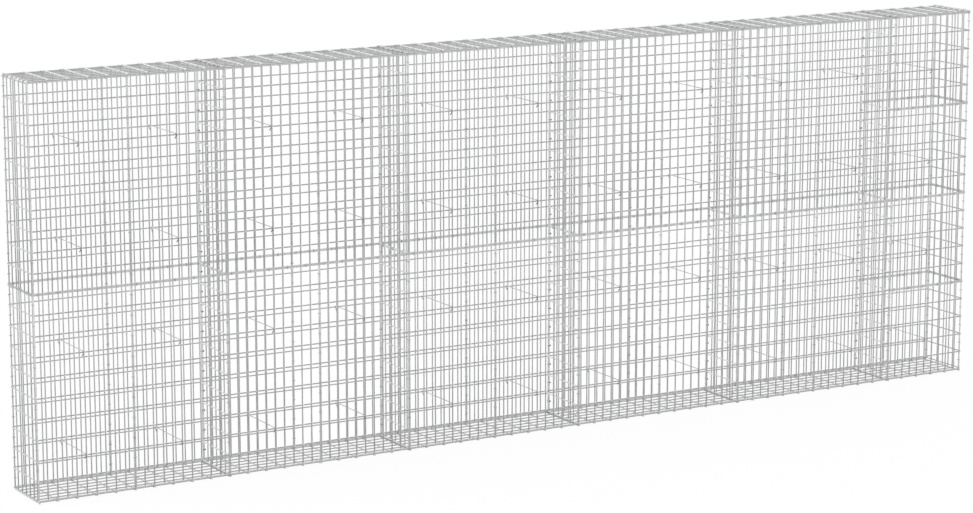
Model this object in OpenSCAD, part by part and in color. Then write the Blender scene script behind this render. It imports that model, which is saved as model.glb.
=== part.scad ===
// Empty welded-wire gabion wall: five full bays in two tiers and one short bay in four tiers.
// Millimetres. X runs along the wall, +Y to the back, Z up. The origin is under the middle.

/* [Wall] */
// Length of a full bay
bay_l = 1000; // [600:100:1600]
// Length of the short bay at the right end
end_bay_l = 500; // [300:50:1000]
// Depth of the cage, between front and back uprights
wall_d = 300; // [200:50:600]
// Height of one tier of a full bay
tier_h = 1000; // [600:100:1400]

/* [Mesh] */
// Side of a wire, drawn as a square bar of about the weight of 5 mm round wire
wire_w = 4.5; // [3:0.5:6]
// Spacing of the uprights, and of the wires along the base and the covers
mesh_w = 50; // [40:5:80]
// Spacing of the level wires, and of the cross wires in the base and the covers
mesh_h = 100; // [80:10:150]
// Gap left where one piece rests on or beside another
seat = 0.5; // [0.3:0.1:0.8]

/* [Base and covers] */
// How far cross wires run past the edge wires, front and back
cross_over = 5; // [0:1:12]
// How far a cover's cross wires stand to the right of the uprights
cover_shift = 6; // [0:1:15]

/* [Tie hooks] */
// Level wires from the foot of a tier up to its first row of hooks
hook_first_level = 2; // [1:1:3]
// Level wires from one row of hooks to the next in a tier
hook_level_step = 5; // [3:1:6]
// Uprights from the left edge of a panel to its hooks
hook_upright = 5; // [2:1:7]
// Length of a hook's tip, under the level wire
hook_tip = 24; // [12:1:40]
// Angle at which the tip turns in from straight down
hook_lean = 40; // [0:5:60]

/* [Hidden] */
bays = 5;
panels_per_bay = 2;
tiers = 2;
end_tiers = 4;
hook_rows_per_tier = 2;

half_wire = wire_w / 2;
// Hairline left where two inner wires of a panel cross, so that its rim joins it into one piece
hairline = 0.1;
// Edge wires stand in from a joint line by this much, so that neighbours lie side by side
edge_in = half_wire + seat / 2;
// Centre distance of two wires that lie side by side with a seat between them
wrap = wire_w + seat;

wall_l = bays * bay_l + end_bay_l;
wall_h = tiers * tier_h;
panel_l = bay_l / panels_per_bay;
end_tier_h = wall_h / end_tiers;
left = -wall_l / 2;
// Height of the lowest joint line, over the two layers of the base
foot = 2 * wire_w + hairline + seat / 2;
// Dividers and ends stand between the front and back uprights
divider_in = wrap / 2;

wire_grey = [0.74, 0.75, 0.75];
hook_grey = [0.60, 0.61, 0.61];

function last(list) = list[len(list) - 1];

// Wire places between two joint lines: one beside each line, and the rest on the mesh spacing
function lines(low, high, pitch, shift = 0) = concat(
    [low + edge_in],
    [for (p = [pitch + shift : pitch : high - pitch / 2 + shift]) p],
    [high - edge_in]
);

// Length of bay b, counted from 1 at the left
function bay_length(b) = b > bays ? end_bay_l : bay_l;

// Angle of a step in the YZ plane, from straight up
function heading(step) = atan2(-step[0], step[1]);

// One straight wire, up from the origin
module wire(length) {
    translate([-half_wire, -half_wire, 0]) cube([wire_w, wire_w, length]);
}

// True for the first and the last of a list of wires
function on_rim(i, list) = i == 0 || i == len(list) - 1;

// A flat welded panel: uprights at x = ups, and level wires at z = levels on the -Y side of them
module panel(ups, levels, over = 0) {
    bottom = levels[0] - half_wire;
    top = last(levels) + half_wire;
    start = ups[0] - half_wire - over;
    end = last(ups) + half_wire + over;
    for (i = [0 : len(ups) - 1])
        translate([ups[i], on_rim(i, ups) ? -hairline : 0, bottom]) wire(top - bottom);
    for (i = [0 : len(levels) - 1])
        translate([start, on_rim(i, levels) ? -wire_w : -wire_w - hairline, levels[i]])
            rotate([0, 90, 0]) wire(end - start);
}

// A front panel with its lower left corner at x, z
module front_panel(x, z, length, height) {
    translate([x, -wall_d / 2, z])
        panel(lines(0, length, mesh_w), lines(0, height, mesh_h));
}

// Both panels of one full bay in one tier
module front_bay(b, tier) {
    for (p = [0 : panels_per_bay - 1])
        front_panel(left + (b - 1) * bay_l + p * panel_l, foot + tier * tier_h, panel_l, tier_h);
}

// The stacked panels of the short bay
module front_short() {
    for (t = [0 : end_tiers - 1])
        front_panel(left + bays * bay_l, foot + t * end_tier_h, end_bay_l, end_tier_h);
}

// Stacked panels across the wall, with their level wires on the -X side
module across(count, height) {
    for (t = [0 : count - 1])
        translate([0, wall_d / 2, foot + t * height]) rotate([0, 0, -90])
            panel(lines(divider_in, wall_d - divider_in, mesh_w), lines(0, height, mesh_h));
}

// A base panel for bay b, lying on the ground with its cross wires underneath
module floor_panel(b, shift = 0) {
    translate([left + (b - 1) * bay_l, -wall_d / 2, foot - seat / 2 - half_wire]) rotate([90, 0, 90])
        panel(
            lines(-edge_in, wall_d + edge_in, mesh_w),
            lines(0, bay_length(b), mesh_h, shift),
            cross_over
        );
}

// A run of wire through points in the YZ plane, mitred where it bends
module wire_run(points) {
    for (i = [0 : len(points) - 2]) {
        step = points[i + 1] - points[i];
        bend_in = i == 0 ? 0 : heading(step) - heading(points[i] - points[i - 1]);
        bend_out = i == len(points) - 2 ? 0 : heading(points[i + 2] - points[i + 1]) - heading(step);
        lead_in = half_wire * tan(abs(bend_in) / 2);
        lead_out = half_wire * tan(abs(bend_out) / 2);
        translate([0, points[i][0], points[i][1]]) rotate([heading(step), 0, 0])
            translate([0, 0, -lead_in]) wire(norm(step) + lead_in + lead_out);
    }
}

// One end of a tie hook, from its tip to the bar, around a level wire at y = 0, z = 0
function hook_end() =
    let (turn = [-wrap, -wire_w])
    [turn + hook_tip * [sin(hook_lean), -cos(hook_lean)], turn, [-wrap, wrap]];

// A tie hook over the front and back level wires at height z
module tie_hook(x, z) {
    level_y = wall_d / 2 + wire_w + hairline;
    front = [for (p = hook_end()) [p[0] - level_y, p[1]]];
    back = [for (i = [len(front) - 1 : -1 : 0]) [-front[i][0], front[i][1]]];
    translate([x, 0, z]) wire_run(concat(front, back));
}

// Height of hook row r, counted from 0, in a stack of tiers with so many rows in each
function hook_z(r, rows, height) =
    foot + floor(r / rows) * height + (hook_first_level + (r % rows) * hook_level_step) * mesh_h;

module front_lower(b) {
    color(wire_grey) front_bay(b, 0);
}

module front_upper(b) {
    color(wire_grey) front_bay(b, 1);
}

module front_short_bay() {
    color(wire_grey) front_short();
}

module back_lower(b) {
    color(wire_grey) mirror([0, 1, 0]) front_bay(b, 0);
}

module back_upper(b) {
    color(wire_grey) mirror([0, 1, 0]) front_bay(b, 1);
}

module back_short_bay() {
    color(wire_grey) mirror([0, 1, 0]) front_short();
}

module left_end() {
    color(wire_grey) translate([left, 0, 0]) across(tiers, tier_h);
}

module divider(b) {
    color(wire_grey) translate([left + b * bay_l, 0, 0]) across(tiers, tier_h);
}

module right_end() {
    color(wire_grey) translate([left + wall_l, 0, 0]) mirror([1, 0, 0]) across(end_tiers, end_tier_h);
}

module base(b) {
    color(wire_grey) floor_panel(b);
}

module cover(b) {
    color(wire_grey) translate([0, 0, 2 * foot + wall_h]) mirror([0, 0, 1]) floor_panel(b, cover_shift);
}

// One row of tie hooks, each beside an upright of its panel
module tie_hooks(row) {
    beside = hook_upright * mesh_w - wrap;
    color(hook_grey) {
        for (p = [0 : bays * panels_per_bay - 1])
            tie_hook(left + p * panel_l + beside, hook_z(row - 1, hook_rows_per_tier, tier_h));
        tie_hook(left + bays * bay_l + beside, hook_z(row - 1, 1, end_tier_h));
    }
}

for (b = [1:bays]) front_lower(b);
for (b = [1:bays]) front_upper(b);
front_short_bay();
for (b = [1:bays]) back_lower(b);
for (b = [1:bays]) back_upper(b);
back_short_bay();
left_end();
for (b = [1:bays]) divider(b);
right_end();
for (b = [1:bays + 1]) base(b);
for (b = [1:bays + 1]) cover(b);
for (r = [1:end_tiers]) tie_hooks(r);
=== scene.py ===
# %% [markdown]
# # An empty gabion wall
# A gabion wall starts as a cage of welded wire mesh that is later filled with stone. This one is
# 5.5 m long, 2 m high and 0.3 m deep: five bays of a metre and a half bay at the right end. The frame
# holds each panel as square bars. This lesson dresses every panel in round, galvanised wire with its
# welds, bends the tie hooks, adds the clip rings that close the joints, and sets up a plain studio.

# %% Load the frame
import math

import bpy
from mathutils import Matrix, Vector


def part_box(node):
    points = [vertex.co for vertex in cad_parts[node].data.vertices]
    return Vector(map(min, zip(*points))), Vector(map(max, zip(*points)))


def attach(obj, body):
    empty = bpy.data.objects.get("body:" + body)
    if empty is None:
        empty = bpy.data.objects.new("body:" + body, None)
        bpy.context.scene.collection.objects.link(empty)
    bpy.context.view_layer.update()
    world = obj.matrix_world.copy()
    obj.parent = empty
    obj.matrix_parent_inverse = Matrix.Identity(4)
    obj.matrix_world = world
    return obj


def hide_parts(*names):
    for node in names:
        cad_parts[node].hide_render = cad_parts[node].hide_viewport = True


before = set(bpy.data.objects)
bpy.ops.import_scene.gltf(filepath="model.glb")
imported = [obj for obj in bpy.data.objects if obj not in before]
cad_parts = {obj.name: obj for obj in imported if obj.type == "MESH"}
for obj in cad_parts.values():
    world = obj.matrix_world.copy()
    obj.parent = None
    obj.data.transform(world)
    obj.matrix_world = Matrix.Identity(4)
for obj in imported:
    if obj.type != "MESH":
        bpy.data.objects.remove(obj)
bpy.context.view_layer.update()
MM = 0.001

# %% [markdown]
# ## Two small tools
# Node trees are long when every node takes five lines. One function that adds a node, sets its options
# and fills or links its inputs keeps them readable. Colours are written as the sRGB hex values that a
# paint program shows, and shaders want linear light, so one function turns the first into the second.

# %% Add a node, and read a colour
def add_node(tree, kind, inputs=None, **options):
    """Add one node. An input takes a value, a socket, a node for its first output, or a list of these."""
    node = tree.nodes.new(kind)
    for option, value in options.items():
        setattr(node, option, value)
    for name, value in (inputs or {}).items():
        for source in value if isinstance(value, list) else [value]:
            if isinstance(source, bpy.types.Node):
                source = source.outputs[0]
            if isinstance(source, bpy.types.NodeSocket):
                tree.links.new(source, node.inputs[name])
            else:
                node.inputs[name].default_value = source
    return node


def linear(hex_colour):
    """Linear RGBA of an sRGB colour such as #808080."""
    shares = [int(hex_colour[i:i + 2], 16) / 255 for i in (1, 3, 5)]
    light = [s / 12.92 if s <= 0.04045 else ((s + 0.055) / 1.055) ** 2.4 for s in shares]
    return (*light, 1.0)


print("mid grey is", round(linear("#808080")[0], 3), "in linear light")

# %% [markdown]
# ## Galvanised wire
# The mesh is drawn steel wire, dipped in hot zinc. Fresh zinc is a pale, satin, almost neutral metal. It
# dulls unevenly within weeks: a thin chalky film forms, so the surface scatters light more than bare
# metal does, and a part-metallic shader gives both. In the picture each panel's uprights are darker at
# the foot than at the head, and their coat paints this as shade at the foot and light at the head.
# Rim wires and wires that run into the depth get paler colours, as painted light. The zinc that pools
# round a weld is pale too.
#
# A painted picture could show this, but thousands of wires would have to be unwrapped for it. Instead
# each wire carries what it knows as attributes. "coat" runs from dull to bright and carries the painted
# shade and light, "rim" and "weld" are shares, the first of painted light, "cells" counts the mesh cells
# along the wire, and "pool" says how far zinc pools, in cells. The material reads these, and adds
# cloudy patches a few centimetres long, small flecks that change the gloss, and a fine grit for the
# drawing marks, drawn coarser than real so that it shows.

# %% Patterns in the zinc
# The size of each pattern, and how much finer detail lies over it. Real grit is finer still
PATTERNS = {"patches": (45 * MM, 3.0), "flecks": (7 * MM, 2.0), "grit": (1.1 * MM, 1.0)}


def zinc_patterns(tree):
    """The noise of each pattern, in the wall's own space."""
    place = add_node(tree, "ShaderNodeTexCoord").outputs["Object"]
    found = {}
    for name, (size, detail) in PATTERNS.items():
        noise = add_node(tree, "ShaderNodeTexNoise", {"Vector": place, "Scale": 1 / size, "Detail": detail})
        found[name] = noise.outputs["Fac"]
    return found


print("patterns of", [round(size / MM, 1) for size, _ in PATTERNS.values()], "mm")

# %% What the wires carry
CARRIED = ("coat", "rim", "weld", "cells", "pool")
# Patches and flecks together lie mostly between these, and move the coat by this share up or down
CLOUD_NOISE = (0.7, 1.3)
CLOUDS = 0.3
HALF_CELL = 0.5


def zinc_shares(tree, patterns):
    """How bright the coat is with its painted light and shade, how much painted rim light a wire has, and
    how much pooled zinc lies on it.
    """
    carried = {}
    for name in CARRIED:
        carried[name] = add_node(tree, "ShaderNodeAttribute", attribute_name=name).outputs["Fac"]
    both = add_node(tree, "ShaderNodeMath", {0: patterns["patches"], 1: patterns["flecks"]},
                    operation="ADD")
    cloud = add_node(tree, "ShaderNodeMapRange",
                     {"Value": both, "From Min": CLOUD_NOISE[0], "From Max": CLOUD_NOISE[1],
                      "To Min": -CLOUDS, "To Max": CLOUDS})
    bright = add_node(tree, "ShaderNodeMath", {0: carried["coat"], 1: cloud}, operation="ADD")
    from_crossing = add_node(tree, "ShaderNodeMath", {0: carried["cells"], 1: HALF_CELL},
                             operation="PINGPONG")
    pool = add_node(tree, "ShaderNodeMapRange",
                    {"Value": from_crossing, "From Max": carried["pool"], "To Min": 1.0, "To Max": 0.0})
    weld = add_node(tree, "ShaderNodeMath", {0: carried["weld"], 1: pool}, operation="MAXIMUM")
    return bright, carried["rim"], weld


print("wires carry", ", ".join(CARRIED))

# %% The zinc finishes
FLECK_NOISE = (0.3, 0.7)
GRIT_DEPTH = 0.05 * MM
GRIT_STRENGTH = 0.6
# A Mix node's colour sockets go by number, because its other sockets have the same names
SHARE, FIRST, SECOND, MIXED = 0, 6, 7, 2


def zinc(name, mesh, rim, pooled, metal, gloss):
    """Zinc-coated wire. Mesh and rim run dull to bright as painted shade to light; rim is paler as painted
    light. Pooled is on welds.
    """
    material = bpy.data.materials.new(name)
    material.use_nodes = True
    tree = material.node_tree
    shader = tree.nodes["Principled BSDF"]
    shader.inputs["Metallic"].default_value = metal
    patterns = zinc_patterns(tree)
    bright, on_rim, on_weld = zinc_shares(tree, patterns)
    coats = []
    # The share runs from the dull to the bright colour: painted shade at the foot of uprights, painted light
    # at their head
    for dull, shiny in (mesh, rim):
        coat = add_node(tree, "ShaderNodeMix", {SHARE: bright, FIRST: linear(dull), SECOND: linear(shiny)},
                        data_type="RGBA")
        coats.append(coat.outputs[MIXED])
    # Rim wires, and levels that count as rim, take the paler colours as painted light
    drawn = add_node(tree, "ShaderNodeMix", {SHARE: on_rim, FIRST: coats[0], SECOND: coats[1]},
                     data_type="RGBA")
    tinted = add_node(tree, "ShaderNodeMix",
                      {SHARE: on_weld, FIRST: drawn.outputs[MIXED], SECOND: linear(pooled)},
                      data_type="RGBA")
    tree.links.new(tinted.outputs[MIXED], shader.inputs["Base Color"])
    rough = add_node(tree, "ShaderNodeMapRange",
                     {"Value": patterns["flecks"], "From Min": FLECK_NOISE[0], "From Max": FLECK_NOISE[1],
                      "To Min": gloss[0], "To Max": gloss[1]})
    tree.links.new(rough.outputs[0], shader.inputs["Roughness"])
    bump = add_node(tree, "ShaderNodeBump",
                    {"Height": patterns["grit"], "Strength": GRIT_STRENGTH, "Distance": GRIT_DEPTH})
    tree.links.new(bump.outputs[0], shader.inputs["Normal"])
    return material


# Drawn wire, hot-dipped: pale, satin, a little chalky. Its mesh colours run from painted shade to painted
# light, and its paler rim colours are painted light
galvanised_wire = zinc("galvanised_wire", mesh=("#A6A7A7", "#C9CACA"), rim=("#C5C6C6", "#EBECEC"),
                       pooled="#D9DADA", metal=0.35, gloss=(0.36, 0.50))
# Spring wire of hooks and rings, zinc-plated: as pale and a little glossier. Its dark colour is painted
# shade on the hooks' front legs and at ring ends
plated_spring_wire = zinc("plated_spring_wire", mesh=("#383939", "#CDCECE"), rim=("#383939", "#CDCECE"),
                          pooled="#CDCECE", metal=0.4, gloss=(0.34, 0.46))
print("finishes:", galvanised_wire.name, "and", plated_spring_wire.name)

# %% [markdown]
# ## A piece grown by nodes
# Everything on this wall repeats, so Geometry Nodes do the work: one tree for a welded panel, one for a
# row of hooks and one for the rings. Array modifiers could repeat a wire too, but not weld, coat and
# place a whole panel in one go. Each tree has named inputs for its sizes. A piece runs its tree once,
# and the result is kept as a plain mesh, so that nothing depends on the modifier later.

# %% Make a tree, and grow a piece
def new_tree(name, inputs):
    """An empty tree with these named inputs, and the sockets that carry them."""
    tree = bpy.data.node_groups.new(name, "GeometryNodeTree")
    for label, kind in inputs.items():
        tree.interface.new_socket(label, in_out="INPUT", socket_type="NodeSocket" + kind)
    tree.interface.new_socket("Geometry", in_out="OUTPUT", socket_type="NodeSocketGeometry")
    return tree, tree.nodes.new("NodeGroupInput").outputs


def grow(name, tree, values, mesh=None):
    """Run a tree with these values, and keep what it makes as a plain mesh."""
    piece = bpy.data.objects.new(name, mesh or bpy.data.meshes.new(name))
    bpy.context.scene.collection.objects.link(piece)
    modifier = piece.modifiers.new(tree.name, "NODES")
    modifier.node_group = tree
    for item in tree.interface.items_tree:
        if item.in_out == "INPUT" and item.name in values:
            modifier[item.identifier] = values[item.name]
    seen = piece.evaluated_get(bpy.context.evaluated_depsgraph_get())
    made = bpy.data.meshes.new_from_object(seen)
    made.name = name
    piece.modifiers.clear()
    piece.data = made
    return piece


def triangles(piece):
    """How many triangles a piece has."""
    return sum(len(face.vertices) - 2 for face in piece.data.polygons)


print("node trees before the first:", len(bpy.data.node_groups))

# %% [markdown]
# ## Wire that isn't quite straight
# Mesh that has been carried, stood up and clipped together is never dead flat: it sways by half a
# millimetre or so over every third of a metre. Moving each wire by its own random amount would pull
# welds apart. So the sway is a smooth noise in the wall's own space, and wires, welds, hooks and rings
# that lie together move together. It fades out towards the ground, where the base lies flat.

# %% Sway
SWAY = 0.5 * MM
SWAY_LENGTH = 330 * MM
SWAY_DETAIL = 1.0
HELD_BELOW = 300 * MM
# The noise keeps mostly to within a quarter of its middle, so this makes it sway by the full amount
NOISE_MIDDLE = (0.5, 0.5, 0.5)
NOISE_TO_SWAY = 4


def swayed(tree, geometry):
    """Move curves or points by the wall's own slow noise."""
    place = add_node(tree, "GeometryNodeInputPosition")
    noise = add_node(tree, "ShaderNodeTexNoise",
                     {"Vector": place, "Scale": 1 / SWAY_LENGTH, "Detail": SWAY_DETAIL})
    off_middle = add_node(tree, "ShaderNodeVectorMath", {0: noise.outputs["Color"], 1: NOISE_MIDDLE},
                          operation="SUBTRACT")
    height = add_node(tree, "ShaderNodeSeparateXYZ", {0: place}).outputs["Z"]
    reach = add_node(tree, "ShaderNodeMapRange",
                     {"Value": height, "From Max": HELD_BELOW, "To Max": NOISE_TO_SWAY * SWAY})
    offset = add_node(tree, "ShaderNodeVectorMath", {0: off_middle, "Scale": reach}, operation="SCALE")
    return add_node(tree, "GeometryNodeSetPosition", {"Geometry": geometry, "Offset": offset})


print("sway of about", SWAY / MM, "mm")

# %% Round wire, and the end of every tree
SIDES = 12
CUT_ANGLE = math.radians(75)


def drawn_wire(tree, curves, diameter, sides=SIDES):
    """Round wire along curves, cut square at its ends."""
    radius = add_node(tree, "ShaderNodeMath", {0: diameter, 1: 0.5}, operation="MULTIPLY")
    outline = add_node(tree, "GeometryNodeCurvePrimitiveCircle", {"Resolution": sides, "Radius": radius})
    return add_node(tree, "GeometryNodeCurveToMesh",
                    {"Curve": curves, "Profile Curve": outline, "Fill Caps": True})


def close_tree(tree, meshes, material):
    """Realize what is left, shade it smooth except at cut ends, and give it its finish."""
    joined = add_node(tree, "GeometryNodeJoinGeometry", {0: meshes})
    real = add_node(tree, "GeometryNodeRealizeInstances", {0: joined})
    smooth = add_node(tree, "GeometryNodeSetShadeSmooth", {"Geometry": real}, domain="FACE")
    angle = add_node(tree, "GeometryNodeInputMeshEdgeAngle").outputs["Unsigned Angle"]
    cut = add_node(tree, "FunctionNodeCompare", {0: angle, 1: CUT_ANGLE}, operation="GREATER_THAN")
    crisp = add_node(tree, "GeometryNodeSetShadeSmooth",
                     {"Geometry": smooth, "Selection": cut, "Shade Smooth": False}, domain="EDGE")
    painted = add_node(tree, "GeometryNodeSetMaterial", {"Geometry": crisp, "Material": material})
    add_node(tree, "NodeGroupOutput", {0: painted})


print("round wire has", SIDES, "sides")

# %% [markdown]
# ## A welded panel
# A panel is a row of upright wires with level wires welded across one side, every 50 mm and 100 mm. The
# first and the last wire of each row lie just inside the joint line, beside the rim of the next panel.
# A resistance weld sinks the wires a little into each other and squeezes out a low bead. Cylinders could
# be copied into place one by one, but a tree keeps the rule in one spot. It draws the wires as curves
# and the welds as points, sets copies of the panel side by side, turns them into the wall, and only then
# lets them sway and become round.

# %% Where the wires of a row lie
def wire_count(tree, length, pitch):
    """How many wires stand along a length."""
    cells = add_node(tree, "ShaderNodeMath", {0: length, 1: pitch}, operation="DIVIDE")
    whole = add_node(tree, "ShaderNodeMath", {0: cells}, operation="ROUND")
    return add_node(tree, "ShaderNodeMath", {0: whole, 1: 1.0}, operation="ADD")


def wire_place(tree, number, pitch, first, length, shift=0.0):
    """Where wire number so-and-so lies: on the pitch, or beside the joint if it is the first or the last."""
    on_pitch = add_node(tree, "ShaderNodeMath", {0: number, 1: pitch}, operation="MULTIPLY")
    after_first = add_node(tree, "ShaderNodeMath", {0: number, 1: 1.0}, operation="MINIMUM")
    place = add_node(tree, "ShaderNodeMath", {0: after_first, 1: shift, 2: on_pitch},
                     operation="MULTIPLY_ADD")
    last = add_node(tree, "ShaderNodeMath", {0: length, 1: first}, operation="SUBTRACT")
    return add_node(tree, "ShaderNodeClamp", {0: place, 1: first, 2: last})


def rim_share(tree, count, rim):
    """How much painted rim light the wires of a row carry: the first value inside, the second at both edges.
    """
    index = add_node(tree, "GeometryNodeInputIndex")
    after = add_node(tree, "ShaderNodeMath", {0: count, 1: index}, operation="SUBTRACT")
    to_last = add_node(tree, "ShaderNodeMath", {0: after, 1: 1.0}, operation="SUBTRACT")
    nearest = add_node(tree, "ShaderNodeMath", {0: index, 1: to_last}, operation="MINIMUM")
    edge = add_node(tree, "ShaderNodeMath", {0: 1.0, 1: nearest}, operation="SUBTRACT")
    return add_node(tree, "ShaderNodeMapRange", {"Value": edge, "To Min": rim[0], "To Max": rim[1]})


print("rows of wire can be counted and placed")

# %% Coated wires
WELD_POOL = 9 * MM
STRAIGHT = 100 * MM


def coated_line(tree, start, end, coat, pitch):
    """A straight curve whose coat runs from start to end as painted shade and light, and its crossings every
    pitch.
    """
    near = add_node(tree, "ShaderNodeCombineXYZ", start)
    far = add_node(tree, "ShaderNodeCombineXYZ", end)
    line = add_node(tree, "GeometryNodeCurvePrimitiveLine", {"Start": near, "End": far})
    coated = add_node(tree, "GeometryNodeResampleCurve", {"Curve": line, "Length": STRAIGHT}, mode="LENGTH")
    share = add_node(tree, "GeometryNodeSplineParameter").outputs["Factor"]
    bright = add_node(tree, "ShaderNodeMapRange", {"Value": share, "To Min": coat[0], "To Max": coat[1]},
                      clamp=False)
    # A line runs along one axis, so the sum of X, Y and Z is its distance
    place = add_node(tree, "GeometryNodeInputPosition")
    run = add_node(tree, "ShaderNodeVectorMath", {0: place, 1: (1.0, 1.0, 1.0)}, operation="DOT_PRODUCT")
    cells = add_node(tree, "ShaderNodeMath", {0: run.outputs["Value"], 1: pitch}, operation="DIVIDE")
    pool = add_node(tree, "ShaderNodeMath", {0: WELD_POOL, 1: pitch}, operation="DIVIDE")
    for name, value in (("coat", bright), ("cells", cells), ("pool", pool)):
        coated = add_node(tree, "GeometryNodeStoreNamedAttribute",
                          {"Geometry": coated, "Name": name, "Value": value}, data_type="FLOAT")
    return coated


def wires(tree, count, places, line, rim):
    """A row of one line's copies. Places are given by X, Y and Z."""
    station = add_node(tree, "ShaderNodeCombineXYZ", places)
    stations = add_node(tree, "GeometryNodePoints", {"Count": count, "Position": station})
    marked = add_node(tree, "GeometryNodeStoreNamedAttribute",
                      {"Geometry": stations, "Name": "rim", "Value": rim_share(tree, count, rim)},
                      data_type="FLOAT")
    return add_node(tree, "GeometryNodeInstanceOnPoints", {"Points": marked, "Instance": line})


print("zinc pools", WELD_POOL / MM, "mm to each side of a crossing")

# %% One flat panel
WELD_DEPTH = 5 * MM


def flat_panel(tree, given):
    """One panel in its own plane: its wires as curves, and its welds as points."""
    index = add_node(tree, "GeometryNodeInputIndex")
    width, height = given["Width"], given["Height"]
    columns = wire_count(tree, width, given["Upright pitch"])
    rows = wire_count(tree, height, given["Level pitch"])

    def upright_x(number):
        return wire_place(tree, number, given["Upright pitch"], given["First upright"], width)

    def level_z(number):
        return wire_place(tree, number, given["Level pitch"], given["First level"], height,
                          given["Level shift"])

    foot = add_node(tree, "ShaderNodeMath", {0: given["First level"], 1: given["Upright overrun"]},
                    operation="SUBTRACT")
    head = add_node(tree, "ShaderNodeMath", {0: height, 1: foot}, operation="SUBTRACT")
    upright = coated_line(tree, {"Z": foot}, {"Z": head}, (given["Foot coat"], given["Head coat"]),
                          given["Level pitch"])
    uprights = wires(tree, columns, {"X": upright_x(index)}, upright, (0.0, given["Rim"]))
    near = add_node(tree, "ShaderNodeMath", {0: given["First upright"], 1: given["Level overrun"]},
                    operation="SUBTRACT")
    far = add_node(tree, "ShaderNodeMath", {0: width, 1: near}, operation="SUBTRACT")
    level = coated_line(tree, {"X": near}, {"X": far}, (given["Level coat"], given["Level coat"]),
                        given["Upright pitch"])
    levels = wires(tree, rows, {"Y": -WELD_DEPTH, "Z": level_z(index)}, level,
                   (given["Level rim"], given["Rim"]))

    column = add_node(tree, "ShaderNodeMath", {0: index, 1: columns}, operation="MODULO")
    rows_before = add_node(tree, "ShaderNodeMath", {0: index, 1: columns}, operation="DIVIDE")
    row = add_node(tree, "ShaderNodeMath", {0: rows_before}, operation="FLOOR")
    crossings = add_node(tree, "ShaderNodeMath", {0: columns, 1: rows}, operation="MULTIPLY")
    crossing = add_node(tree, "ShaderNodeCombineXYZ",
                        {"X": upright_x(column), "Y": -WELD_DEPTH / 2, "Z": level_z(row)})
    welds = add_node(tree, "GeometryNodePoints", {"Count": crossings, "Position": crossing})
    return add_node(tree, "GeometryNodeJoinGeometry", {0: [uprights, levels, welds]})


print("level wires lie", WELD_DEPTH / MM, "mm in front of the uprights")

# %% The tree of a welded panel
WELD_REACH = 4.1 * MM
WELD_RISE = 2 * MM
BEAD_SEGMENTS = 8
BEAD_RINGS = 4
PANEL_LENGTHS = ("Width", "Height", "Upright pitch", "Level pitch", "Level shift", "First upright",
                 "First level", "Level overrun", "Upright overrun", "Wire")
PANEL_LIGHT_AND_SHADE = ("Foot coat", "Head coat", "Level coat", "Rim", "Level rim")
PANEL_INPUTS = {
    **dict.fromkeys(PANEL_LENGTHS + PANEL_LIGHT_AND_SHADE, "Float"),
    **dict.fromkeys(("Step", "Turn", "Corner"), "Vector"),
    "Copies": "Int",
    "Finish": "Material",
}


def panel_tree():
    """The tree that makes a row or a stack of welded panels."""
    tree, given = new_tree("welded_panel", PANEL_INPUTS)
    index = add_node(tree, "GeometryNodeInputIndex")
    step = add_node(tree, "ShaderNodeVectorMath", {0: given["Step"], "Scale": index}, operation="SCALE")
    stations = add_node(tree, "GeometryNodePoints", {"Count": given["Copies"], "Position": step})
    copies = add_node(tree, "GeometryNodeInstanceOnPoints",
                      {"Points": stations, "Instance": flat_panel(tree, given)})
    real = add_node(tree, "GeometryNodeRealizeInstances", {0: copies})
    turn = add_node(tree, "FunctionNodeEulerToRotation", {0: given["Turn"]})
    placed = add_node(tree, "GeometryNodeTransform",
                      {"Geometry": real, "Rotation": turn, "Translation": given["Corner"]})
    parts = add_node(tree, "GeometryNodeSeparateComponents", {0: swayed(tree, placed)})
    mesh = drawn_wire(tree, parts.outputs["Curve"], given["Wire"])
    ball = add_node(tree, "GeometryNodeMeshUVSphere",
                    {"Segments": BEAD_SEGMENTS, "Rings": BEAD_RINGS, "Radius": 1.0})
    bead = add_node(tree, "GeometryNodeStoreNamedAttribute",
                    {"Geometry": ball, "Name": "weld", "Value": 1.0}, data_type="FLOAT")
    beads = add_node(tree, "GeometryNodeInstanceOnPoints",
                     {"Points": parts.outputs["Point Cloud"], "Instance": bead, "Rotation": turn,
                      "Scale": (WELD_REACH, WELD_RISE, WELD_REACH)})
    close_tree(tree, [mesh, beads], given["Finish"])
    return tree


welded_panel = panel_tree()
print("the panel tree has", len(welded_panel.nodes), "nodes")

# %% [markdown]
# ## Every panel takes its place from its node
# The frame already says where each panel is: the corners of its node's box, with the joint lines a
# quarter of a millimetre outside them. Front panels stand as they are drawn. Back panels are the same
# ones turned half round, so their level wires lie outside too. Ends and dividers turn a quarter. The
# base lies down with its cross wires underneath, and a cover lies the other way up. Each side of the
# cage has painted light and shade of its own in its coat, matched to how bright that side looks in the
# picture.

# %% Sizes that the panels share
WIRE = 6.5 * MM
UPRIGHT_PITCH = 50 * MM
LEVEL_PITCH = 100 * MM
BESIDE_JOINT = 3.3 * MM
BESIDE_TIER = 3.5 * MM
CUT_END = 2.75 * MM
JOINT = 0.25 * MM
pieces = []


def light_and_shade_of(foot, head, level, rim, level_rim):
    """A panel's painted light and shade in its coat: uprights at foot and head, level wires, and how much
    painted rim light edges and levels take.
    """
    return dict(zip(PANEL_LIGHT_AND_SHADE, (foot, head, level, rim, level_rim)))


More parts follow.
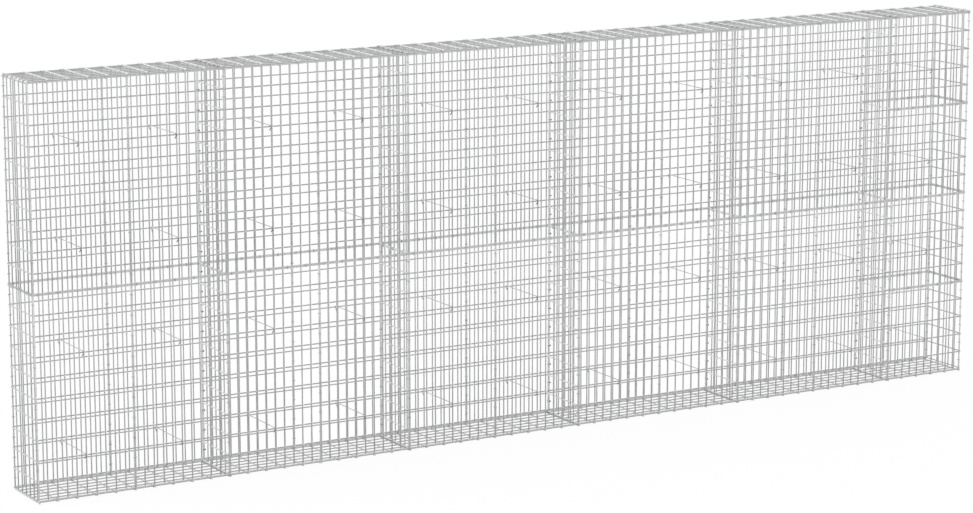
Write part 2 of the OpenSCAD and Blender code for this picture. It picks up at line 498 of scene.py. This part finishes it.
def dress(node, coat, turn, corner, width, height, copies, step, **changes):
    """Replace one node with round welded wire."""
    values = {
        "Width": width,
        "Height": height,
        "Upright pitch": UPRIGHT_PITCH,
        "Level pitch": LEVEL_PITCH,
        "Level shift": 0.0,
        "First upright": BESIDE_JOINT,
        "First level": BESIDE_TIER,
        "Level overrun": CUT_END,
        "Upright overrun": CUT_END,
        "Copies": copies,
        "Step": step,
        "Turn": turn,
        "Corner": corner,
        "Wire": WIRE,
        "Finish": galvanised_wire,
    }
    values.update(coat)
    values.update(changes)
    piece = grow(node + "_wire", welded_panel, values)
    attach(piece, "root")
    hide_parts(node)
    pieces.append(piece)


def joint_box(node):
    """The joint lines round a node: its box, a hair larger."""
    low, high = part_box(node)
    hair = Vector((JOINT, JOINT, JOINT))
    return low - hair, high + hair


print("mesh cells of", UPRIGHT_PITCH / MM, "by", LEVEL_PITCH / MM, "mm, wire of", WIRE / MM, "mm")

# %% Front and back panels
BAYS = range(1, 6)
PANELS_PER_BAY = 2
SHORT_TIERS = 4
PANEL_LENGTH = 500 * MM
BAY_LENGTH = PANELS_PER_BAY * PANEL_LENGTH
SHORT_TIER = 500 * MM
FULL_TIER = 1000 * MM
DEPTH = 300 * MM
# How bright each side's coat is painted, from dull at 0 to bright at 1: painted light and shade
SIDE_LIGHT_AND_SHADE = {
    "front": light_and_shade_of(foot=0.0, head=1.0, level=0.3, rim=1.0, level_rim=0.0),
    "back": light_and_shade_of(foot=0.45, head=1.2, level=0.95, rim=1.0, level_rim=0.0),
}


def dress_side(side, bay, tall, copies, step):
    """One node of the front, or of the back, which is the same turned half round."""
    node = side + "_" + bay
    low, high = joint_box(node)
    if side == "front":
        turn, corner = (0.0, 0.0, 0.0), (low.x, -DEPTH / 2, low.z)
    else:
        turn, corner = (0.0, 0.0, math.pi), (high.x, DEPTH / 2, low.z)
    dress(node, SIDE_LIGHT_AND_SHADE[side], turn, corner, PANEL_LENGTH, tall, copies, step)


for side in ("front", "back"):
    for tier in ("lower", "upper"):
        for b in BAYS:
            dress_side(side, f"{tier}_bay_{b}", FULL_TIER, PANELS_PER_BAY, (PANEL_LENGTH, 0.0, 0.0))
    dress_side(side, "short_bay", SHORT_TIER, SHORT_TIERS, (0.0, 0.0, SHORT_TIER))
print(len(pieces), "front and back pieces,", sum(map(triangles, pieces)), "triangles")

# %% Ends and dividers
FULL_TIERS = 2
BAR = 4.5 * MM
BETWEEN_SIDES = 6.6 * MM
QUARTER = math.pi / 2
# Painted light and shade of the ends and dividers: wires that run into the depth are painted paler
DIVIDER_LIGHT_AND_SHADE = light_and_shade_of(foot=0.9, head=1.2, level=0.8, rim=1.0, level_rim=1.0)
LEFT_LIGHT_AND_SHADE = light_and_shade_of(foot=0.1, head=1.0, level=0.0, rim=0.0, level_rim=0.65)
RIGHT_LIGHT_AND_SHADE = light_and_shade_of(foot=0.6, head=1.1, level=0.4, rim=0.5, level_rim=0.0)


def dress_across(node, coat, plane_x, quarter, tall, copies):
    """A stack of panels across the wall, with its level wires on the side that faces out."""
    low = joint_box(node)[0]
    corner = (plane_x, -quarter * DEPTH / 2, low.z)
    dress(node, coat, (0.0, 0.0, quarter * QUARTER), corner, DEPTH, tall, copies, (0.0, 0.0, tall),
          **{"First upright": BETWEEN_SIDES})


dress_across("left_end", LEFT_LIGHT_AND_SHADE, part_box("left_end")[1].x - BAR / 2, -1, FULL_TIER, FULL_TIERS)
for b in BAYS:
    node = f"divider_{b}"
    dress_across(node, DIVIDER_LIGHT_AND_SHADE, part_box(node)[1].x - BAR / 2, -1, FULL_TIER, FULL_TIERS)
dress_across("right_end", RIGHT_LIGHT_AND_SHADE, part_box("right_end")[0].x + BAR / 2, 1, SHORT_TIER, SHORT_TIERS)
print(len(pieces), "pieces with the ends and dividers")

# %% Base and covers
CROSS_OVERRUN = 7.25 * MM
COVER_SHIFT = 6 * MM
ALL_BAYS = range(1, len(BAYS) + 2)
# Painted light on the base, bright where it lies in shade on the floor, and painted light and shade on the
# covers
BASE_LIGHT_AND_SHADE = light_and_shade_of(foot=1.0, head=1.0, level=1.0, rim=0.0, level_rim=1.0)
COVER_LIGHT_AND_SHADE = light_and_shade_of(foot=0.65, head=0.65, level=0.5, rim=0.2, level_rim=1.0)


def dress_flat(node, upward, shift):
    """A base panel, or a cover that lies the other way up with its cross wires a little to the right."""
    low, high = joint_box(node)
    if upward:
        coat, quarter = COVER_LIGHT_AND_SHADE, -QUARTER
        corner = (low.x, DEPTH / 2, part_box(node)[0].z + BAR / 2)
    else:
        coat, quarter = BASE_LIGHT_AND_SHADE, QUARTER
        corner = (low.x, -DEPTH / 2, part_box(node)[1].z - BAR / 2)
    dress(node, coat, (quarter, 0.0, quarter), corner, DEPTH, high.x - low.x, 1, (0.0, 0.0, 0.0),
          **{"First upright": 0.0, "Level overrun": CROSS_OVERRUN, "Level shift": shift})


for b in ALL_BAYS:
    dress_flat(f"base_bay_{b}", False, 0.0)
    dress_flat(f"cover_bay_{b}", True, COVER_SHIFT)
print(len(pieces), "panels in all,", sum(map(triangles, pieces)), "triangles")

# %% [markdown]
# ## Tie hooks
# Stone pushes the front and the back apart, so a steel tie runs through each panel at four heights. Its
# ends bend over the level wires and turn down and in. The front leg faces down and away from the light,
# and its coat is painted dark as painted shade. A bevelled curve could be bent by hand. Here the path of
# one hook is a short line of points in the wall's depth, because its sizes can then be read. A fillet
# rounds its bends to the radius that hugs the level wire, and a row of points sets eleven hooks along the
# wall.

# %% The tree of a row of hooks
HOOK_BEND_STEPS = 5
# The coat of the front leg, painted dark as painted shade, and of the rest,
# and the share of the hook's length where it changes
HOOK_SHADE_AND_COAT = (0.35, 0.95)
HOOK_SHADED_LEG = (0.07, 0.11)
HOOK_INPUTS = {"Path": "Geometry", "Count": "Int", "First": "Vector", "Step": "Vector", "Wire": "Float",
               "Bend": "Float", "Finish": "Material"}


def hook_tree():
    """The tree that bends a path into a hook and repeats it along the wall."""
    tree, given = new_tree("tie_hooks", HOOK_INPUTS)
    path = add_node(tree, "GeometryNodeMeshToCurve", {"Mesh": given["Path"]})
    bent = add_node(tree, "GeometryNodeFilletCurve",
                    {"Curve": path, "Count": HOOK_BEND_STEPS, "Radius": given["Bend"],
                     "Limit Radius": True}, mode="POLY")
    index = add_node(tree, "GeometryNodeInputIndex")
    along = add_node(tree, "ShaderNodeVectorMath", {0: given["Step"], "Scale": index}, operation="SCALE")
    place = add_node(tree, "ShaderNodeVectorMath", {0: given["First"], 1: along}, operation="ADD")
    stations = add_node(tree, "GeometryNodePoints", {"Count": given["Count"], "Position": place})
    row = add_node(tree, "GeometryNodeInstanceOnPoints", {"Points": stations, "Instance": bent})
    real = add_node(tree, "GeometryNodeRealizeInstances", {0: row})
    share = add_node(tree, "GeometryNodeSplineParameter").outputs["Factor"]
    coat = add_node(tree, "ShaderNodeMapRange",
                    {"Value": share, "From Min": HOOK_SHADED_LEG[0], "From Max": HOOK_SHADED_LEG[1],
                     "To Min": HOOK_SHADE_AND_COAT[0], "To Max": HOOK_SHADE_AND_COAT[1]})
    coated = add_node(tree, "GeometryNodeStoreNamedAttribute",
                      {"Geometry": swayed(tree, real), "Name": "coat", "Value": coat}, data_type="FLOAT")
    mesh = drawn_wire(tree, coated, given["Wire"])
    close_tree(tree, [mesh], given["Finish"])
    return tree


tie_hooks = hook_tree()
print("the hook tree has", len(tie_hooks.nodes), "nodes")

# %% Four rows of hooks
HOOK_ROWS = range(1, 5)
HOOK_COLUMNS = 11
HOOK_WIRE = 4.5 * MM
HOOK_BEND = 5 * MM
HOOK_TIP = 26 * MM
HOOK_LEAN = math.radians(48)
HOOK_WRAP = 5.5 * MM
HOOK_TURN = 2.6 * MM
HOOK_AT = 244.4 * MM
leg_y = -(DEPTH / 2 + WELD_DEPTH + HOOK_WRAP)
tip_in, tip_down = HOOK_TIP * math.sin(HOOK_LEAN), HOOK_TIP * math.cos(HOOK_LEAN)
half_hook = [(0.0, leg_y + tip_in, -HOOK_TURN - tip_down), (0.0, leg_y, -HOOK_TURN), (0.0, leg_y, HOOK_WRAP)]
hook_path = half_hook + [(x, -y, z) for x, y, z in reversed(half_hook)]
wall_left = joint_box("front_lower_bay_1")[0].x
for r in HOOK_ROWS:
    node = f"tie_hooks_row_{r}"
    line = bpy.data.meshes.new("hook_path")
    line.from_pydata(hook_path, [(i, i + 1) for i in range(len(hook_path) - 1)], [])
    bar_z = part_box(node)[1].z - BAR / 2
    hooks = grow(node + "_wire", tie_hooks,
                 {"Count": HOOK_COLUMNS, "First": (wall_left + HOOK_AT, 0.0, bar_z - HOOK_WRAP),
                  "Step": (PANEL_LENGTH, 0.0, 0.0), "Wire": HOOK_WIRE, "Bend": HOOK_BEND,
                  "Finish": plated_spring_wire}, line)
    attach(hooks, "root")
    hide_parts(node)
    pieces.append(hooks)
    print(node, "has", triangles(hooks), "triangles")

# %% [markdown]
# ## Clip rings
# Panels are joined with clip rings: open rings of spring wire that pliers squeeze shut until the ends
# pass each other. There is one every 100 mm on every joint: in mid cell on the uprights, and beside the
# cross wires on the edges. At the dividers they take in more wires and are wider, and at the end corners
# they are tighter. At the back of the dividers their ends are painted dark as painted shade, and show as
# dark dots.
#
# A ring could be a closed torus, but it would have no ends. So a ring is a little more than one turn of
# a low spiral. Its point carries two directions: along the joint that the ring closes round, and the
# way that its ends face, mostly into the cage. One tree can then turn them all, and lets each hang a
# few degrees loose.

# %% The tree of the rings
RING_TURNS = 1.15
RING_STEPS = 10
RING_SIDES = 6
# Shares of a ring's length: its end, which carries painted shade, and where that shade has faded out
RING_CUT = 0.1
RING_SHADE_FADES = 0.18
RING_TILT = math.radians(5)
RING_SPIN = math.radians(12)
RING_INPUTS = {"Points": "Geometry", "Radius": "Float", "Wire": "Float", "End light and shade": "Float",
               "Seed": "Int", "Finish": "Material"}


def one_ring(tree, given):
    """A ring round the Z axis, with its ends about the X side and painted shade of their own."""
    rise = add_node(tree, "ShaderNodeMath", {0: given["Wire"], 1: RING_TURNS}, operation="MULTIPLY")
    spiral = add_node(tree, "GeometryNodeCurveSpiral",
                      {"Resolution": RING_STEPS, "Rotations": RING_TURNS, "Start Radius": given["Radius"],
                       "End Radius": given["Radius"], "Height": rise})
    down = add_node(tree, "ShaderNodeMath", {0: rise, 1: -0.5}, operation="MULTIPLY")
    half_down = add_node(tree, "ShaderNodeCombineXYZ", {"Z": down})
    middle = add_node(tree, "GeometryNodeTransform", {"Geometry": spiral, "Translation": half_down})
    share = add_node(tree, "GeometryNodeSplineParameter").outputs["Factor"]
    from_end = add_node(tree, "ShaderNodeMath", {0: share, 1: 0.5}, operation="PINGPONG")
    coat = add_node(tree, "ShaderNodeMapRange",
                    {"Value": from_end, "From Min": RING_CUT, "From Max": RING_SHADE_FADES,
                     "To Min": given["End light and shade"], "To Max": 1.0})
    end_shaded = add_node(tree, "GeometryNodeStoreNamedAttribute",
                    {"Geometry": middle, "Name": "coat", "Value": coat}, data_type="FLOAT")
    return drawn_wire(tree, end_shaded, given["Wire"], RING_SIDES)


def ring_tree():
    """The tree that sets a clip ring at each point of a mesh."""
    tree, given = new_tree("clip_rings", RING_INPUTS)
    along = add_node(tree, "GeometryNodeInputNamedAttribute", {"Name": "along"}, data_type="FLOAT_VECTOR")
    inward = add_node(tree, "GeometryNodeInputNamedAttribute", {"Name": "inward"}, data_type="FLOAT_VECTOR")
    on_joint = add_node(tree, "FunctionNodeAlignRotationToVector", {"Vector": along}, axis="Z")
    mouth = add_node(tree, "FunctionNodeAlignRotationToVector", {"Rotation": on_joint, "Vector": inward},
                     axis="X", pivot_axis="Z")
    most = Vector((RING_TILT, RING_TILT, RING_SPIN))
    loose = add_node(tree, "FunctionNodeRandomValue",
                     {0: tuple(-most), 1: tuple(most), "Seed": given["Seed"]}, data_type="FLOAT_VECTOR")
    slack = add_node(tree, "FunctionNodeEulerToRotation", {0: loose})
    turned = add_node(tree, "FunctionNodeRotateRotation", {0: mouth, 1: slack}, rotation_space="LOCAL")
    rings = add_node(tree, "GeometryNodeInstanceOnPoints",
                     {"Points": swayed(tree, given["Points"]), "Instance": one_ring(tree, given),
                      "Rotation": turned})
    close_tree(tree, [rings], given["Finish"])
    return tree


clip_rings = ring_tree()
print("the ring tree has", len(clip_rings.nodes), "nodes")

# %% Where the rings go
RING_WIRE = 2.8 * MM
MID_CELL = LEVEL_PITCH / 2
X, Y, Z = Vector((1, 0, 0)), Vector((0, 1, 0)), Vector((0, 0, 1))
wall_right = joint_box("front_short_bay")[1].x
foot_z = joint_box("front_lower_bay_1")[0].z
top_z = joint_box("front_upper_bay_1")[1].z
height = top_z - foot_z
length = wall_right - wall_left


def spaced(start, reach, first=MID_CELL):
    """Places every 100 mm along a joint, from the first one on."""
    return [start + first + LEVEL_PITCH * i for i in range(round(reach / LEVEL_PITCH))]


def set_rings(name, rows, radius, end_coat, seed):
    """One piece of rings. A row is its list of places, the joint's direction and the way in."""
    spots = [(place, along, inward) for places, along, inward in rows for place in places]
    mesh = bpy.data.meshes.new(name + "_points")
    mesh.from_pydata([place for place, _, _ in spots], [], [])
    for label, which in (("along", 1), ("inward", 2)):
        directions = mesh.attributes.new(label, "FLOAT_VECTOR", "POINT")
        directions.data.foreach_set("vector", [share for spot in spots for share in spot[which]])
    rings = grow(name, clip_rings,
                 {"Radius": radius, "Wire": RING_WIRE, "End light and shade": end_coat, "Seed": seed,
                  "Finish": plated_spring_wire}, mesh)
    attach(rings, "root")
    pieces.append(rings)
    print(name, "has", len(spots), "rings and", triangles(rings), "triangles")


print("joints run", round(length, 3), "m along and", round(height, 3), "m up")

# %% Rings on the front and the back
RING = 8 * MM
UPRIGHT_IN = 1.6 * MM
LEVEL_OUT = 4.5 * MM
EDGE_OUT = 2.25 * MM
TIER_FIRST = 25 * MM
EDGE_FIRST = 92 * MM
WHOLE = 0.9
SIDE_SEED = 11
mid_bay_x = [wall_left + PANEL_LENGTH + BAY_LENGTH * i for i in range(len(BAYS))]
short_left = joint_box("front_short_bay")[0].x
short_levels = [SHORT_TIER * t for t in range(1, SHORT_TIERS)]
tier_x = spaced(wall_left, short_left - wall_left, TIER_FIRST)
short_x = spaced(short_left, wall_right - short_left, TIER_FIRST)
for side, out in (("front", -1), ("back", 1)):
    y = out * DEPTH / 2
    inward = -out * Y
    rows = [([(x, y - out * UPRIGHT_IN, z) for z in spaced(foot_z, height)], Z, inward) for x in mid_bay_x]
    rows += [([(x, y + out * LEVEL_OUT, foot_z + FULL_TIER) for x in tier_x], X, inward)]
    rows += [([(x, y + out * LEVEL_OUT, foot_z + level) for x in short_x], X, inward)
             for level in short_levels]
    rows += [([(x, y + out * EDGE_OUT, z) for x in spaced(wall_left, length, EDGE_FIRST)], X, inward)
             for z in (foot_z, top_z)]
    set_rings("clip_rings_" + side, rows, RING, WHOLE, SIDE_SEED + out)

# %% Rings across the wall and at its corners
ACROSS_OUT = 4.5 * MM
ACROSS_SEED = 21
CORNER_RING = 7.6 * MM
CORNER_IN = (1.65 * MM, 3.3 * MM)
CORNER_SEED = 41
across_y = spaced(-DEPTH / 2, DEPTH)
full_joints = [(wall_left + BAY_LENGTH * (b - 1), -1, [FULL_TIER]) for b in ALL_BAYS]
all_joints = full_joints + [(wall_right, 1, short_levels)]
rows = [([(x + out * ACROSS_OUT, y, foot_z + level) for y in across_y], Y, -out * X)
        for x, out, levels in all_joints for level in levels]
set_rings("clip_rings_across", rows, RING, WHOLE, ACROSS_SEED)
corners = [(x - out * CORNER_IN[0], side * (DEPTH / 2 - CORNER_IN[1]), side)
           for x, out in ((wall_left, -1), (wall_right, 1)) for side in (-1, 1)]
rows = [([(x, y, z) for z in spaced(foot_z, height)], Z, -side * Y) for x, y, side in corners]
set_rings("clip_rings_corners", rows, CORNER_RING, WHOLE, CORNER_SEED)

# %% Rings at the dividers and on the covers
DIVIDER_RING = 9.3 * MM
DIVIDER_IN = 3.4 * MM
DIVIDER_FIRST = 59 * MM
DIVIDER_SEED = 51
# The ends of the rings at the back of the dividers are painted dark: painted shade
SHADED_ENDS = 0.0
COVER_RING = 10 * MM
COVER_IN = 1 * MM
COVER_RISE = 2.5 * MM
COVER_SEED = 31
for side, out, mouth, end_coat in (("front", -1, Y, WHOLE), ("back", 1, X - Y, SHADED_ENDS)):
    y = out * (DEPTH / 2 - DIVIDER_IN)
    rows = [([(x, y, z) for z in spaced(foot_z, height, DIVIDER_FIRST)], Z, mouth)
            for x, _, _ in full_joints[1:]]
    set_rings("clip_rings_dividers_" + side, rows, DIVIDER_RING, end_coat, DIVIDER_SEED + out)
cover_z = top_z + COVER_RISE
rows = [([(x + out * COVER_IN, y, cover_z) for y in (across_y[0], across_y[-1])], Y, -out * X)
        for x, out, _ in all_joints]
set_rings("clip_rings_covers", rows, COVER_RING, WHOLE, COVER_SEED)

# %% [markdown]
# ## The studio
# The wall stands on a plain white floor that runs on into a white background. A curved paper backdrop
# would do it too, but a flat floor and a white world need no fitting to the camera. The floor is a pale
# diffuse surface that also shows white to the camera and in reflections, so that the background is even
# and the wall's faint shadow stays. The world gives most of the light, evenly from all round. One soft
# lamp, low at the left and behind, adds the rest: wires that run into the depth catch it and turn almost
# white, and the level wires, which face the camera, stay grey.

# %% A floor that shows white
def shown_white(tree):
    """1 for what the camera sees straight, in metal or through glass, and 0 for light on its way."""
    path = add_node(tree, "ShaderNodeLightPath").outputs
    seen = add_node(tree, "ShaderNodeMath", {0: path["Is Camera Ray"], 1: path["Is Glossy Ray"]},
                    operation="MAXIMUM")
    return add_node(tree, "ShaderNodeMath", {0: seen, 1: path["Is Transmission Ray"]}, operation="MAXIMUM")


FLOOR_HALF = 60.0
FLOOR_DROP = 1.6 * MM
FLOOR_ROUGH = 0.9
# The share of the floor that is even white, and how bright the rest of it comes out under this light
FLOOR_WHITE = 0.9
FLOOR_LIT = 0.74
floor_mesh = bpy.data.meshes.new("studio_floor")
floor_corners = [(-1, -1), (1, -1), (1, 1), (-1, 1)]
floor_mesh.from_pydata([(x * FLOOR_HALF, y * FLOOR_HALF, -FLOOR_DROP) for x, y in floor_corners], [],
                       [(0, 1, 2, 3)])
floor = bpy.data.objects.new("studio_floor", floor_mesh)
bpy.context.scene.collection.objects.link(floor)
# Matt white paper: it scatters all light and has no gloss, so only the wall's shadow shows on it
paper = bpy.data.materials.new("white_paper")
paper.use_nodes = True
paper_tree = paper.node_tree
sheet = paper_tree.nodes["Principled BSDF"]
sheet.inputs["Base Color"].default_value = linear("#E4E4E4")
sheet.inputs["Roughness"].default_value = FLOOR_ROUGH
sheet.inputs["Specular IOR Level"].default_value = 0.0
share = add_node(paper_tree, "ShaderNodeMath", {0: shown_white(paper_tree), 1: FLOOR_WHITE},
                 operation="MULTIPLY")
glow = (1 - (1 - FLOOR_WHITE) * FLOOR_LIT) / FLOOR_WHITE
even = add_node(paper_tree, "ShaderNodeEmission", {"Color": linear("#FFFFFF"), "Strength": glow})
surface = add_node(paper_tree, "ShaderNodeMixShader", {0: share, 1: sheet, 2: even})
paper_tree.links.new(surface.outputs[0], paper_tree.nodes["Material Output"].inputs["Surface"])
floor_mesh.materials.append(paper)
print("the floor is", 2 * FLOOR_HALF, "m wide")

# %% The world and its lamp
AMBIENT = 0.87
KEY_STRENGTH = 1.7
KEY_SPREAD = math.radians(50)
KEY_FROM = Vector((-0.85, 0.5, 0.2))
world = bpy.data.worlds.new("studio_world")
world.use_nodes = True
bpy.context.scene.world = world
sky = world.node_tree.nodes["Background"]
sky.inputs["Color"].default_value = linear("#FFFFFF")
strength = add_node(world.node_tree, "ShaderNodeMapRange",
                    {"Value": shown_white(world.node_tree), "To Min": AMBIENT, "To Max": 1.0})
world.node_tree.links.new(strength.outputs[0], sky.inputs["Strength"])
key = bpy.data.lights.new("key_from_left", "SUN")
key.energy = KEY_STRENGTH
key.angle = KEY_SPREAD
key_lamp = bpy.data.objects.new("key_from_left", key)
key_lamp.rotation_euler = KEY_FROM.to_track_quat("Z", "Y").to_euler()
bpy.context.scene.collection.objects.link(key_lamp)
print("a world of", AMBIENT, "and one lamp:", key.name)

# %% [markdown]
# ## The camera
# The picture was taken from the left, well above the wall's top, with a long lens. Its upright wires run
# straight up and down, which a view camera does by shifting its lens. Here the camera tilts down
# instead, so that it can turn round the wall for other views without losing it.

# %% Place the camera
AIM = Vector((-0.215, 0.0, 0.916))
AZIMUTH = math.radians(-30.08)
ELEVATION = math.radians(11.21)
DISTANCE = 16.06
LENS_MM = 116.3
SEES_AS_FAR_AS = 200.0
away = Vector((math.sin(AZIMUTH) * math.cos(ELEVATION), -math.cos(AZIMUTH) * math.cos(ELEVATION),
               math.sin(ELEVATION)))
camera_data = bpy.data.cameras.new("view_from_the_left")
camera_data.lens = LENS_MM
camera_data.clip_end = SEES_AS_FAR_AS
camera = bpy.data.objects.new("view_from_the_left", camera_data)
camera.location = AIM + away * DISTANCE
camera.rotation_euler = away.to_track_quat("Z", "Y").to_euler()
bpy.context.scene.collection.objects.link(camera)
bpy.context.scene.camera = camera
bpy.context.scene.view_settings.view_transform = "Standard"
print("camera at", tuple(round(c, 3) for c in camera.location))

# %% [markdown]
# ## Last measures
# The triangles of all the pieces are counted.

# %% Measure and finish
print(sum(map(triangles, pieces)), "triangles in", len(pieces), "pieces")
